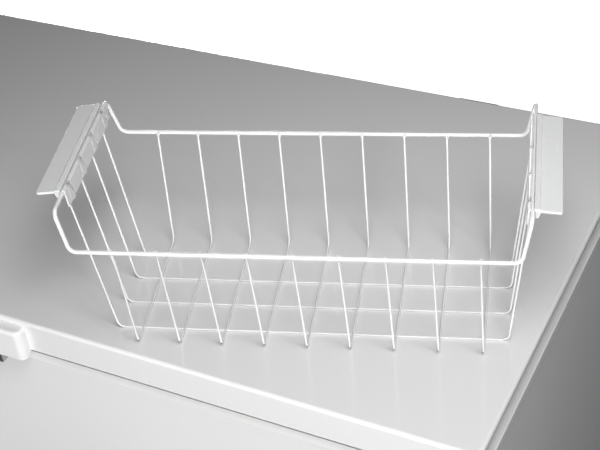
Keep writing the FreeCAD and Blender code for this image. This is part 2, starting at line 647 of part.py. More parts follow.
def make_lid_grip():
    """The pull on the lid's front edge, with the lock in its middle and a keeper below it."""
    half, front, proud, top, height = values("grip_half", "lid_front", "grip_proud", "lid_top",
                                             "lock_height")
    depth = front - proud
    shape = Part.makeBox(2 * half, proud - 0.1, 44, FreeCAD.Vector(-half, depth, top - 52))
    ends = [e for e in shape.Edges if e.BoundBox.ZLength > 40 and e.BoundBox.YMax < depth + 0.1]
    shape = shape.makeFillet(9, ends)
    rim = [e for e in shape.Edges if e.BoundBox.ZMin > top - 8.1 and e.BoundBox.YMax < front - 0.2]
    shape = shape.makeFillet(5, rim)
    hollow = Part.makeBox(2 * half - 12, proud - 6, 38, FreeCAD.Vector(-half + 6, depth + 3, top - 52.1))
    boss = Part.makeCylinder(11, 5, FreeCAD.Vector(0, depth + 9.9, height), FreeCAD.Vector(0, 1, 0))
    bore = Part.makeCylinder(6.05, 30, FreeCAD.Vector(0, depth - 5, height), FreeCAD.Vector(0, 1, 0))
    sub_part("lid_handle", feature(shape.cut([hollow]).fuse(boss).cut(bore)))

    line = FreeCAD.Vector(0, 1, 0)
    barrel = Part.makeCylinder(6, proud - 1, FreeCAD.Vector(0, depth - 0.5, height), line)
    keyway = Part.makeBox(1.6, 4, 7, FreeCAD.Vector(-0.8, depth - 1, height - 3.5))
    sub_part("lock_barrel", feature(barrel.cut(keyway)))

    # The tongue hangs straight down when open and turns under the keeper's lip to lock.
    plane, thin = depth + 6.3, 2.4
    tongue = Part.makeBox(8, thin, 26, FreeCAD.Vector(-4, plane, height - 26))
    ring = Part.makeCylinder(8.5, thin, FreeCAD.Vector(0, plane, height), line)
    hole = Part.makeCylinder(6, 30, FreeCAD.Vector(0, depth - 5, height), line)
    sub_part("lock_tongue", feature(tongue.fuse(ring).cut(hole)))
    case_front, lip = value("case_front"), height + 7
    keeper = Part.makeBox(22, case_front - depth - 5.1, 6, FreeCAD.Vector(14, depth + 5, 796))
    post = Part.makeBox(6, 5, lip + 4 - 796, FreeCAD.Vector(30, depth + 5, 796))
    hook = Part.makeBox(20, 5, 4, FreeCAD.Vector(16, depth + 5, lip))
    sub_part("lock_keeper", feature(keeper.fuse([post, hook])))


# ---- the basket ---------------------------------------------------------------------------------


def end_wires():
    """Where the four end wires run along the floor, and where they meet the left and right bars."""
    pitch, splay, offset = values("pitch", "end_splay", "end_offset")
    floors = [step * pitch for step in (-1.32, -0.44, 0.44, 1.32)]
    return [(y, y * splay + offset, y * splay - offset) for y in floors]


def make_basket():
    thick, thin, pitch, shift = values("rail_wire", "thin_wire", "pitch", "cross_shift")
    rail, height, bend, end, corner, top = values("rail_half", "rail_height", "rail_bend", "end_half",
                                                  "end_corner", "end_height")
    floor_y, floor_x = values("floor_half_width", "floor_half_length")

    right = [(bend, -rail, height), (end, -corner, top), (end, corner, top), (bend, rail, height)]
    left = [(-x, -y, z) for x, y, z in right]
    half = bent_path([(0, -rail, height)] + right + [(0, rail, height)], 10)
    other = bent_path([(0, rail, height)] + left + [(0, -rail, height)], 10)
    frame = tube(half, thick).fuse(tube(other, thick))
    basket_part("basket_rail_frame", feature(frame))

    inner = rail - thick - thin - 0.03
    wires = []
    for i in range(9):
        x = pitch * (i - 4) + shift
        route = [(x, -inner, height + 1), (x, -floor_y, 0), (x, floor_y, 0), (x, inner, height + 1)]
        wires.append(tube(bent_path(route, 9), thin))
    basket_part("basket_cross_wires", feature(Part.makeCompound(wires)))

    below = top - thick - 0.05
    wires = []
    low = -2 * thin - 0.03
    for y, left_y, right_y in end_wires():
        route = [(-end, left_y, below), (-floor_x, y, low), (floor_x, y, low), (end, right_y, below)]
        wires.append(tube(bent_path(route, 9), thin))
    basket_part("basket_long_wires", feature(Part.makeCompound(wires)))
    for side in ("left", "right"):
        basket_part("basket_grip_" + side, feature(grip(side)))


def grip(side):
    """A channel over the end bar: a flange outside it and a slotted skirt inside its end wires."""
    end, top, length, shift, bar, groove = values("end_half", "end_height", "grip_length", "grip_shift",
                                                  "rail_wire", "groove_half")
    start, width, thick, drop = values("flange_start", "flange_width", "flange_thick", "skirt_drop")
    reach, wall, lip = bar + 0.4, 2, bar + 3.4
    droop = math.radians(6.5)
    tip = (start + width * math.cos(droop), 1 - width * math.sin(droop))
    # (outward, up) from the middle of the end bar
    outline = [(-reach - wall, bar + 1), (-reach, lip), (-groove, lip), (-groove, bar + 1.2),
               (groove, bar + 1.2), (groove, lip), (start - 1, lip), (start, 1 + thick),
               (tip[0], tip[1] + thick), tip, (start, 1), (reach + wall + 0.6, -6), (reach, -6),
               (reach, bar + 0.5), (-reach, bar + 0.5), (-reach - 1.5, -drop), (-reach - wall - 1.5, -drop)]
    points = [FreeCAD.Vector(out, 0, up) for out, up in outline]
    shape = Part.Face(Part.makePolygon(points + points[:1])).extrude(FreeCAD.Vector(0, length, 0))
    shape.translate(FreeCAD.Vector(0, -length / 2 - shift, 0))
    corners = [e for e in shape.Edges if e.BoundBox.YLength < 0.01 and e.BoundBox.XMin > start + width - 3
               and e.BoundBox.ZLength > 1 and e.BoundBox.XLength < 1]
    upright = [e for e in corners if e.BoundBox.ZLength < thick + 0.5]
    if len(upright) == 2:
        shape = shape.makeFillet(3, upright)
    for wire in (right_y for y, left_y, right_y in end_wires()):
        notch = Part.makeBox(reach + 12, 5, 14, FreeCAD.Vector(1.2, wire - 2.5, -12.4))
        slant = [(wire - 8, bar), (wire - 6, bar), (wire - 12.5, -drop - 1), (wire - 14.5, -drop - 1)]
        points = [FreeCAD.Vector(-reach - 6, y, z) for y, z in slant]
        slot = Part.Face(Part.makePolygon(points + points[:1])).extrude(FreeCAD.Vector(7, 0, 0))
        shape = shape.cut([notch, slot])
    if side == "left":
        shape.rotate(FreeCAD.Vector(), FreeCAD.Vector(0, 0, 1), 180)
    shape.translate(FreeCAD.Vector(-end if side == "left" else end, 0, top))
    return shape


# ---- build, test and write ----------------------------------------------------------------------

for make in (make_panels, make_base, make_tub, make_top_frame, make_coils, make_compressor, make_controls,
             make_grille, make_drain, make_floor_contact, make_inlet, make_hinges, make_lid, make_lid_grip,
             make_basket):
    make()
doc.recompute()

for item in doc.Objects:
    if "Invalid" in item.State or "Error" in item.State:
        raise RuntimeError(f"{item.Name} ({item.Label}) did not compute: {item.State}")
for item in sub_parts:
    if item.Shape.isNull() or not item.Shape.isValid():
        raise RuntimeError(f"{item.Label} has no valid shape")

os.makedirs("parts", exist_ok=True)
for item in sub_parts:
    item.Shape.exportStep(f"parts/{item.Label}.step")
print(len(sub_parts), "sub-parts written")
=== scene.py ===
import json
import math

import bmesh
import bpy
from mathutils import Matrix, Vector


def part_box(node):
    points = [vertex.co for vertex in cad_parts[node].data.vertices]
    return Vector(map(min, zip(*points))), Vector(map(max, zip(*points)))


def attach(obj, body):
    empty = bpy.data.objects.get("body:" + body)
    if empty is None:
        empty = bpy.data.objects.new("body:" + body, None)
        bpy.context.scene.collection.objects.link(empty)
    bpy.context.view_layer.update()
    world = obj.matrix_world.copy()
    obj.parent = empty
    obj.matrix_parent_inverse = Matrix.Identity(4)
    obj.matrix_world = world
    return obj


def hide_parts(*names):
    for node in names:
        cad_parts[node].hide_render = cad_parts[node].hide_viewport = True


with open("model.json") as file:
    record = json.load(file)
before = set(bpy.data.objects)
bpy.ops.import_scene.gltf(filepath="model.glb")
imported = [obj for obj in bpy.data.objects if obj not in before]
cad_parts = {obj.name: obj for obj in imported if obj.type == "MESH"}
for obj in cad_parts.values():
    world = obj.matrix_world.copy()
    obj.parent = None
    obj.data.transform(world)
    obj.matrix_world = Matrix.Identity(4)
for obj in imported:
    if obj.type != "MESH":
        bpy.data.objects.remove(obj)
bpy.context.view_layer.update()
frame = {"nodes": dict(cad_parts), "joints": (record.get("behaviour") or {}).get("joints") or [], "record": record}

# Chest freezer: looks. Metres, in the part's own frame: +Z up, the front faces -Y.
MM = 0.001
joints = {joint["name"]: joint for joint in frame["joints"]}

# ---- the basket's own frame ----------------------------------------------------------------------

bar_left = Vector(joints["basket_grip_left_turn"]["pos_m"])
bar_right = Vector(joints["basket_grip_right_turn"]["pos_m"])
END_HEIGHT = 203 * MM          # end bars above the cross wires
BAR_HALF = (bar_right - bar_left).length / 2
along = (bar_right - bar_left).normalized()
middle = (bar_left + bar_right) / 2 - Vector((0, 0, END_HEIGHT))
BASKET = Matrix.Translation(middle) @ Matrix.Rotation(math.atan2(along.y, along.x), 4, "Z")


# ---- camera --------------------------------------------------------------------------------------

CAMERA_PLACE = middle + Vector((608, -1047.5, 1070)) * MM
CAMERA_LOOK = Vector((-0.39854, 0.67360, -0.62244)).normalized()
CAMERA_ROLL = math.radians(-7.03)
FOCAL_LENGTH, SENSOR_WIDTH = 80.9, 36


def make_camera():
    level = CAMERA_LOOK.cross(Vector((0, 0, 1))).normalized()
    up = level.cross(CAMERA_LOOK)
    right = level * math.cos(CAMERA_ROLL) + up * math.sin(CAMERA_ROLL)
    above = up * math.cos(CAMERA_ROLL) - level * math.sin(CAMERA_ROLL)
    data = bpy.data.cameras.new("camera")
    data.lens = FOCAL_LENGTH
    data.sensor_width = SENSOR_WIDTH
    camera = bpy.data.objects.new("camera", data)
    turn = Matrix((right, above, -CAMERA_LOOK)).transposed().to_4x4()
    camera.matrix_world = Matrix.Translation(CAMERA_PLACE) @ turn
    bpy.context.scene.collection.objects.link(camera)
    bpy.context.scene.camera = camera


make_camera()

# ---- materials -----------------------------------------------------------------------------------


class Nodes:
    """A new material's node tree, with short calls for the nodes that the finishes use."""

    def __init__(self, name):
        self.material = bpy.data.materials.new(name)
        self.material.use_nodes = True
        self.tree = self.material.node_tree
        self.shader = self.tree.nodes["Principled BSDF"]
        self.place = self.add("ShaderNodeTexCoord").outputs["Object"]

    def add(self, kind, **inputs):
        node = self.tree.nodes.new(kind)
        for name, given in inputs.items():
            self.set(node, name, given)
        return node

    def set(self, node, name, given):
        socket = node.inputs[name.replace("_", " ")]
        if isinstance(given, bpy.types.NodeSocket):
            self.tree.links.new(given, socket)
        else:
            socket.default_value = given

    def stretched(self, scale):
        node = self.add("ShaderNodeMapping", Vector=self.place)
        node.inputs["Scale"].default_value = scale
        return node.outputs["Vector"]

    def noise(self, scale, detail=2.0, rough=0.5, vector=None):
        node = self.add("ShaderNodeTexNoise", Vector=vector or self.place, Scale=scale,
                        Detail=detail, Roughness=rough)
        return node.outputs["Fac"]

    def cells(self, scale, feature="F1"):
        node = self.add("ShaderNodeTexVoronoi", Vector=self.place, Scale=scale)
        node.feature = feature
        return node.outputs["Distance"]

    def ramp(self, factor, low, high, start=0.3, end=0.7):
        node = self.add("ShaderNodeValToRGB", Fac=factor)
        for element, place, colour in zip(node.color_ramp.elements, (start, end), (low, high)):
            element.position = place
            element.color = (*colour, 1)
        return node.outputs["Color"]

    def between(self, factor, low, high):
        node = self.add("ShaderNodeMapRange", Value=factor, To_Min=low, To_Max=high)
        return node.outputs["Result"]

    def bump(self, height, distance, under=None):
        node = self.add("ShaderNodeBump", Height=height, Distance=distance, Strength=1.0)
        if under:
            self.set(node, "Normal", under)
        return node.outputs["Normal"]

    def finish(self, **inputs):
        for name, given in inputs.items():
            self.set(self.shader, name, given)
        return self.material


def shade(colour, factor):
    return tuple(min(1, c * factor) for c in colour)


def enamel(name, colour, rough, peel=0.00004, coat=0.0):
    """Baked paint on sheet metal: slow waves of the sheet under a fine orange peel."""
    n = Nodes(name)
    tone = n.ramp(n.noise(3.0, 3), shade(colour, 0.975), colour)
    wave = n.bump(n.noise(1.6, 1), 0.0012)
    skin = n.bump(n.noise(420, 2), peel, under=wave)
    gloss = n.between(n.noise(60, 4), rough * 0.9, rough * 1.15)
    return n.finish(Base_Color=tone, Roughness=gloss, Normal=skin, Coat_Weight=coat,
                    Coat_Roughness=0.05)


def plastic(name, colour, rough, grain=0.00003, scale=900):
    """Moulded plastic: a fine eroded grain and faint flow marks."""
    n = Nodes(name)
    tone = n.ramp(n.noise(9, 4), shade(colour, 0.965), colour)
    normal = n.bump(n.noise(scale, 2), grain)
    gloss = n.between(n.noise(35, 3), rough * 0.88, rough * 1.15)
    return n.finish(Base_Color=tone, Roughness=gloss, Normal=normal)


def coated_wire(name):
    """Plastic coating dipped over wire: smooth and glossy, slightly lumpy."""
    n = Nodes(name)
    tone = n.ramp(n.noise(26, 3), (0.86, 0.86, 0.855), (0.93, 0.93, 0.925))
    lumps = n.bump(n.noise(170, 2), 0.00012)
    return n.finish(Base_Color=tone, Roughness=n.between(n.noise(80, 2), 0.16, 0.3), Normal=lumps)


def steel(name):
    """Zinc-plated steel: crystals under fine drawing lines."""
    colour, rough = (0.56, 0.57, 0.58), 0.34
    n = Nodes(name)
    lines = n.noise(90, 3, 0.6, n.stretched((1, 1, 14)))
    tone = n.ramp(n.cells(160), shade(colour, 0.86), shade(colour, 1.08), 0.0, 0.8)
    gloss = n.between(lines, rough * 0.8, rough * 1.3)
    return n.finish(Base_Color=tone, Metallic=1.0, Roughness=gloss, Normal=n.bump(lines, 0.00003))


def stucco(name):
    """White-coated aluminium sheet, embossed all over with small pebbles."""
    n = Nodes(name)
    pebbles = n.cells(150, "SMOOTH_F1")
    # Painted shade: the tone darkens down into each dent, following the same cells as the bump.
    tone = n.ramp(pebbles, (0.80, 0.81, 0.82), (0.90, 0.905, 0.91), 0.0, 0.7)
    gloss = n.between(n.noise(40, 2), 0.26, 0.36)
    return n.finish(Base_Color=tone, Metallic=0.35, Roughness=gloss, Normal=n.bump(pebbles, 0.0006))


def foam(name):
    """Blown foam: matt, full of small open cells."""
    n = Nodes(name)
    cells = n.cells(700)
    # Painted shade: the tone darkens down into each cell's hollow, following the same cells as the bump.
    tone = n.ramp(cells, (0.70, 0.60, 0.34), (0.86, 0.78, 0.52), 0.0, 0.8)
    return n.finish(Base_Color=tone, Roughness=n.between(cells, 0.8, 0.95),
                    Normal=n.bump(cells, 0.0008))


def rubber(name, colour):
    """Soft rubber: dull, with a fine skin."""
    rough = 0.62
    n = Nodes(name)
    tone = n.ramp(n.noise(30, 5), shade(colour, 0.82), colour)
    gloss = n.between(n.noise(200, 3), rough * 0.9, rough * 1.15)
    return n.finish(Base_Color=tone, Roughness=gloss, Normal=n.bump(n.noise(1500, 2), 0.00005))


def copper(name):
    """Copper pipe, stained in patches."""
    n = Nodes(name)
    stain = n.noise(38, 5, 0.62)
    tone = n.ramp(stain, (0.60, 0.27, 0.16), (0.86, 0.49, 0.33))
    return n.finish(Base_Color=tone, Metallic=1.0, Roughness=n.between(stain, 0.42, 0.24),
                    Normal=n.bump(n.noise(300, 2), 0.00004))


def lens(name, colour, glow=0.0):
    """A clear or tinted lens with a rippled face; a lamp's lens glows a little."""
    n = Nodes(name)
    ripple = n.bump(n.cells(900), 0.00025)
    tone = n.ramp(n.noise(60, 2), shade(colour, 0.85), colour)
    made = n.finish(Base_Color=tone, Roughness=n.between(n.noise(90, 2), 0.12, 0.22),
                    Normal=ripple, Transmission_Weight=0.35, IOR=1.49)
    if glow:
        n.finish(Emission_Color=tone, Emission_Strength=glow)
    return made


def board(name):
    """A green circuit board with paler tracks."""
    n = Nodes(name)
    tracks = n.noise(140, 1, 0.4, n.stretched((1, 4, 1)))
    tone = n.ramp(tracks, (0.02, 0.16, 0.07), (0.05, 0.30, 0.13), 0.47, 0.53)
    return n.finish(Base_Color=tone, Roughness=n.between(tracks, 0.35, 0.5),
                    Normal=n.bump(tracks, 0.00005))


WHITE = (0.90, 0.90, 0.895)
M = {
    "lid_enamel": enamel("lid enamel", (0.86, 0.86, 0.86), 0.13, coat=0.35),
    "case_enamel": enamel("case enamel", (0.84, 0.84, 0.84), 0.22),
    "white_plastic": plastic("white plastic", WHITE, 0.30),
    "grip_plastic": plastic("grip plastic", (0.88, 0.885, 0.885), 0.26, grain=0.00002),
    "liner_plastic": plastic("liner plastic", (0.88, 0.88, 0.87), 0.36, grain=0.00006),
    "grey_plastic": plastic("grey plastic", (0.20, 0.205, 0.21), 0.5, grain=0.00008),
    "dial_grey": plastic("dial grey", (0.42, 0.43, 0.44), 0.42, grain=0.00005),
    "liner_sheet": stucco("stucco sheet"),
    "foam": foam("foam"),
    "seal_rubber": rubber("seal rubber", (0.33, 0.335, 0.34)),
    "black_rubber": rubber("black rubber", (0.035, 0.035, 0.036)),
    "copper_tube": copper("copper"),
    "bare_steel": steel("zinc-plated steel"),
    "rear_sheet": enamel("rear sheet", (0.62, 0.63, 0.635), 0.42),
    "pump_black": enamel("black paint", (0.018, 0.018, 0.018), 0.3),
    "coated_wire": coated_wire("coated wire"),
    "lamp_lens": lens("clear lens", (0.92, 0.93, 0.94)),
    "lamp_board": board("circuit board"),
    "green_lens": lens("green lens", (0.04, 0.55, 0.12), 0.5),
    "amber_lens": lens("amber lens", (0.85, 0.42, 0.03), 0.2),
    "red_lens": lens("red lens", (0.75, 0.03, 0.02), 0.2),
}
NODE_MATERIAL = {
    "rear_panel": "rear_sheet", "lid_inner_liner": "liner_plastic", "drain_plug": "black_rubber",
    "compressor_grommets": "black_rubber", "basket_grip_left": "grip_plastic",
    "basket_grip_right": "grip_plastic", "thermostat_knob": "dial_grey",
    "freeze_switch_rocker": "dial_grey",
}


def paint(piece, key):
    piece.data.materials.clear()
    piece.data.materials.append(M[key])


def paint_cad_nodes():
    for part in frame["record"]["subparts"]:
        piece = frame["nodes"][part["node"]]
        paint(piece, NODE_MATERIAL.get(part["node"], part["material_slot"]))


paint_cad_nodes()

# ---- mesh helpers --------------------------------------------------------------------------------


def add_piece(name, mesh_data, material, body, node=None, smooth=40):
    """Turn (points, faces) into a piece that rides on its body and stands for its CAD node."""
    points, faces = mesh_data
    mesh = bpy.data.meshes.new(name)
    mesh.from_pydata([tuple(p) for p in points], [], faces)
    piece = bpy.data.objects.new(name, mesh)
    bpy.context.scene.collection.objects.link(piece)
    face_outwards(mesh, smooth)
    paint(piece, material)
    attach(piece, body)
    if node:
        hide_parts(node)
    return piece


def face_outwards(mesh, smooth=40):
    """Turn the faces outwards and shade the mesh smooth, but for edges sharper than the angle."""
    edit = bmesh.new()
    edit.from_mesh(mesh)
    bmesh.ops.recalc_face_normals(edit, faces=edit.faces)
    for face in edit.faces:
        face.smooth = smooth > 0
    for edge in edit.edges:
        edge.smooth = len(edge.link_faces) != 2 or edge.calc_face_angle(0) < math.radians(smooth)
    edit.to_mesh(mesh)
    edit.free()


def joined(*parts):
    """Several (points, faces) as one."""
    points, faces = [], []
    for some_points, some_faces in parts:
        start = len(points)
        points += list(some_points)
        faces += [[start + i for i in face] for face in some_faces]
    return points, faces


def moved(part, matrix):
    points, faces = part
    return [matrix @ Vector(p) for p in points], faces


def bent(points, radius, steps=8, closed=False):
    """Points along straight runs with their corners turned into arcs."""
    points = [Vector(p) for p in points]
    count = len(points)
    route = []
    for i, here in enumerate(points):
        if not closed and i in (0, count - 1):
            route.append(here)
            continue
        into = (points[i - 1] - here).normalized()
        out = (points[(i + 1) % count] - here).normalized()
        half = into.angle(out) / 2
        centre = here + (into + out).normalized() * radius / math.sin(half)
        first = here + into * radius / math.tan(half) - centre
        last = here + out * radius / math.tan(half) - centre
        turn = first.angle(last)
        for step in range(steps + 1):
            share = step / steps
            arm = first * math.sin(turn * (1 - share)) + last * math.sin(turn * share)
            route.append(centre + arm / math.sin(turn))
    return route


def around(sides):
    """The angles of evenly spaced points round a circle."""
    return [2 * math.pi * side / sides for side in range(sides)]


def stacked(rings, closed=False, capped=True):
    """Rings of points joined by walls; an open stack is capped at both ends."""
    count, size = len(rings), len(rings[0])
    faces = []
    for i in range(count if closed else count - 1):
        a, b = i * size, ((i + 1) % count) * size
        faces += [[a + s, a + (s + 1) % size, b + (s + 1) % size, b + s] for s in range(size)]
    if capped and not closed:
        faces += [list(range(size)), list(range((count - 1) * size, count * size))]
    return [point for ring in rings for point in ring], faces


def tube(route, radius, sides=14, closed=False):
    """A round tube along a route."""
    count = len(route)
    rings, normal = [], None
    for i, here in enumerate(route):
        before = route[i - 1] if i or closed else here
        after = route[(i + 1) % count] if i < count - 1 or closed else here
        line = (after - before).normalized()
        if normal is None:
            normal = line.orthogonal().normalized()
        normal = (normal - line * normal.dot(line)).normalized()
        across = line.cross(normal)
        rings.append([here + (normal * math.cos(angle) + across * math.sin(angle)) * radius
                      for angle in around(sides)])
    return stacked(rings, closed)


def ball(centre, size, rings=7, sides=12):
    """A small rounded bead, its half sizes along X, Y and Z."""
    middle_rings = []
    for ring in range(1, rings):
        tilt = math.pi * ring / rings
        middle_rings.append([Vector(centre) + Vector((size[0] * math.sin(tilt) * math.cos(angle),
                                                      size[1] * math.sin(tilt) * math.sin(angle),
                                                      size[2] * math.cos(tilt)))
                             for angle in around(sides)])
    points, faces = stacked(middle_rings, capped=False)
    top, bottom, last = len(points), len(points) + 1, len(points) - sides
    points += [Vector(centre) + Vector((0, 0, size[2])), Vector(centre) - Vector((0, 0, size[2]))]
    faces += [[top, s, (s + 1) % sides] for s in range(sides)]
    faces += [[bottom, last + (s + 1) % sides, last + s] for s in range(sides)]
    return points, faces


def soft_box(low, high, radius, steps=3):
    """A box with all its edges rounded."""
    edit = bmesh.new()
    bmesh.ops.create_cube(edit, size=1)
    for vert in edit.verts:
        vert.co = Vector([low[i] if vert.co[i] < 0 else high[i] for i in range(3)])
    bmesh.ops.bevel(edit, geom=edit.edges[:], offset=radius, segments=steps, profile=0.5,
                    affect="EDGES")
    edit.verts.index_update()
    part = [v.co.copy() for v in edit.verts], [[v.index for v in f.verts] for f in edit.faces]
    edit.free()
    return part


def arc(centre, radius, start, end, steps=6):
    """Points along an arc in a plane; angles are in degrees, from the first axis to the second."""
    angles = [math.radians(start + (end - start) * i / steps) for i in range(steps + 1)]
    return [(centre[0] + radius * math.cos(a), centre[1] + radius * math.sin(a)) for a in angles]


def outline_ring(half, front, back, corner, centre_x, inset, height, steps):
    """One closed loop of a rectangle with round corners, set in from its outline."""
    smallest_corner = 0.6 * MM
    reach_x, low, high = half - inset, front + inset, back - inset
    radius = max(corner - inset, smallest_corner)
    side, loop = reach_x - radius, []
    for x, y, start in ((side, high - radius, 0), (-side, high - radius, 90),
                        (-side, low + radius, 180), (side, low + radius, 270)):
        loop += arc((centre_x + x, y), radius, start, start + 90, steps)
    return [Vector((x, y, height)) for x, y in loop]


def swept_ring(profile, half, front, back, corner, centre_x, steps=8, closed=False):
    """A profile of (inset, height) points carried round a rectangle with round corners."""
    return stacked([outline_ring(half, front, back, corner, centre_x, inset, height, steps)
                    for inset, height in profile], closed)


def prism(outline, axis, start, end):
    """An outline pushed along an axis: "y" takes (x, z) points and "z" takes (x, y) points."""
    def point(a, b, c):
        return Vector((a, c, b) if axis == "y" else (a, b, c))
    return stacked([[point(a, b, c) for a, b in outline] for c in (start, end)])


def rounded(piece, width, segments=3, angle=30):
    """Round the piece's sharp edges with a bevel modifier."""
    modifier = piece.modifiers.new("rounding", "BEVEL")
    modifier.width = width
    modifier.segments = segments
    modifier.limit_method = "ANGLE"
    modifier.angle_limit = math.radians(angle)
    modifier.harden_normals = True


def carve(piece, part):
    """Cut a closed shape out of the piece."""
    mesh = bpy.data.meshes.new("cutter")
    mesh.from_pydata([tuple(p) for p in part[0]], [], part[1])
    face_outwards(mesh)
    cutter = bpy.data.objects.new("cutter", mesh)
    bpy.context.scene.collection.objects.link(cutter)
    modifier = piece.modifiers.new("cut", "BOOLEAN")
    modifier.object = cutter
    modifier.solver = "EXACT"
    bpy.context.view_layer.update()
    cut = piece.evaluated_get(bpy.context.evaluated_depsgraph_get())
    made = bpy.data.meshes.new_from_object(cut)
    piece.modifiers.remove(modifier)
    piece.data = made
    face_outwards(made, 25)
    bpy.data.objects.remove(cutter)


# ---- the lid -------------------------------------------------------------------------------------

lid_low, lid_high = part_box("lid_top_skin")
CENTRE = (lid_low.x + lid_high.x) / 2
LID_HALF = (lid_high.x - lid_low.x) / 2
SHEET = 1 * MM
CORNER = 14 * MM
SIDE_FLANGE = 9 * MM
TRIM_THICK = 8 * MM


def make_lid_skin():
    """A sheet with rounded top edges, its sides cut back over the two side mouldings."""
    top, low, edge, flat = lid_high.z, lid_low.z, 4.5 * MM, 60 * MM
    outer = [(flat, top), (edge + 0.4 * MM, top)] + arc((edge, top - edge), edge, 90, 180, 8)
    outer += [(0, top - edge - 0.4 * MM), (0, low + 0.5 * MM), (0.25 * MM, low)]
    inner = [(SHEET - 0.2 * MM, low), (SHEET, low + 0.4 * MM), (SHEET, top - edge)]
    inner += [(edge, top - SHEET), (flat, top - SHEET)]
    ring = swept_ring(outer + inner, LID_HALF, lid_low.y, lid_high.y, CORNER, CENTRE, 10)
    piece = add_piece("lid_skin", ring, "lid_enamel", "lid", "lid_top_skin")
    for side in (-1, 1):
        outside = CENTRE + side * (LID_HALF + 5 * MM)
        inside = CENTRE + side * (LID_HALF - TRIM_THICK)
        window = soft_box((min(outside, inside), lid_low.y + CORNER, low - 5 * MM),
                          (max(outside, inside), lid_high.y - CORNER, top - SIDE_FLANGE),
                          0.3 * MM, 2)
        carve(piece, window)


def make_lid_trims():
    """Plastic side mouldings, leaning in towards the top, with a rolled lower lip."""
    for side, out in (("left", -1), ("right", 1)):
        low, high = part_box("lid_side_trim_" + side)
        outer, inner = (high.x, low.x) if out > 0 else (low.x, high.x)
        tall = high.z - low.z
        outline = [(inner, low.z), (outer - out * 1.2 * MM, low.z), (outer, low.z + 1.2 * MM),
                   (outer, low.z + 3.4 * MM), (outer - out * 0.9 * MM, low.z + 4.6 * MM),
                   (outer - out * 3.6 * MM, low.z + 0.75 * tall),
                   (outer - out * 4.6 * MM, high.z - 1.0 * MM), (outer - out * 5.6 * MM, high.z),
                   (inner, high.z)]
        piece = add_piece("trim_" + side, prism(outline, "y", low.y, high.y),
                          "white_plastic", "lid", "lid_side_trim_" + side)
        rounded(piece, 0.5 * MM)


def make_gasket():
    """A soft magnetic seal: a bulb over two bellows folds."""
    low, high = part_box("lid_gasket")
    half, wide = (high.x - low.x) / 2, 10 * MM
    tall = high.z - low.z
    bulb, bulb_in = 0.28 * tall, 3.2 * MM
    profile = [(0.2 * MM, high.z), (0.2 * MM, high.z - 0.16 * tall),
               (1.6 * MM, high.z - 0.3 * tall), (0.3 * MM, high.z - 0.44 * tall)]
    profile += arc((bulb_in, low.z + bulb), bulb, 180, 270)
    profile += arc((wide - bulb_in, low.z + bulb), bulb, 270, 360)
    profile += [(wide - 0.3 * MM, high.z - 0.44 * tall), (wide - 1.6 * MM, high.z - 0.3 * tall),
                (wide - 0.2 * MM, high.z - 0.16 * tall), (wide - 0.2 * MM, high.z)]
    ring = swept_ring(profile, half, low.y, high.y, 10 * MM, CENTRE, closed=True)
    add_piece("seal", ring, "seal_rubber", "lid", "lid_gasket")


def make_lid_liner():
    """The lid's inner tray: a flat border, a raised pan and a shallow panel line round it."""
    low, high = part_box("lid_inner_liner")
    half = (high.x - low.x) / 2
    pan, step, flat = low.z, 44 * MM, 104 * MM
    back, border = pan + 0.9 * SHEET, high.z - SHEET
    bend, foot, line = 3 * MM, 5 * MM, 0.6 * MM
    hidden = [(flat, back), (step + foot, back), (step + SHEET, high.z - 0.3 * MM), (0, high.z)]
    shown = [(0, border), (step - bend, border)]
    shown += arc((step - bend, border - bend), bend, 90, 0, 5)
    shown += arc((step + foot, pan + foot), foot, 180, 270, 6)
    shown += [(step + 30 * MM, pan), (step + 32 * MM, pan + line), (step + 36 * MM, pan + line),
              (step + 38 * MM, pan), (flat, pan)]
    ring = swept_ring(hidden + shown, half, low.y, high.y, 30 * MM, CENTRE, 10)
    add_piece("lid_tray", ring, "liner_plastic", "lid", "lid_inner_liner", 25)


# ---- the basket ----------------------------------------------------------------------------------

PITCH = 50 * MM
RAIL_WIRE, THIN_WIRE = 2.35 * MM, 1.25 * MM
RAIL_HALF, RAIL_HEIGHT, RAIL_BEND = 114 * MM, 153 * MM, 244 * MM
END_CORNER = 108 * MM
FLOOR_Y, FLOOR_X = 93 * MM, 229 * MM
CROSS = [PITCH * (i - 4) + 2 * MM for i in range(9)]
LONG = [PITCH * step for step in (-1.32, -0.44, 0.44, 1.32)]
END_SPLAY, END_OFFSET = 1.055, 3 * MM      # the end wires fan out and lean towards one corner
MEETS = [END_SPLAY * y - END_OFFSET for y in LONG]      # where they meet the right end bar
BELOW = -2 * THIN_WIRE - 0.03 * MM


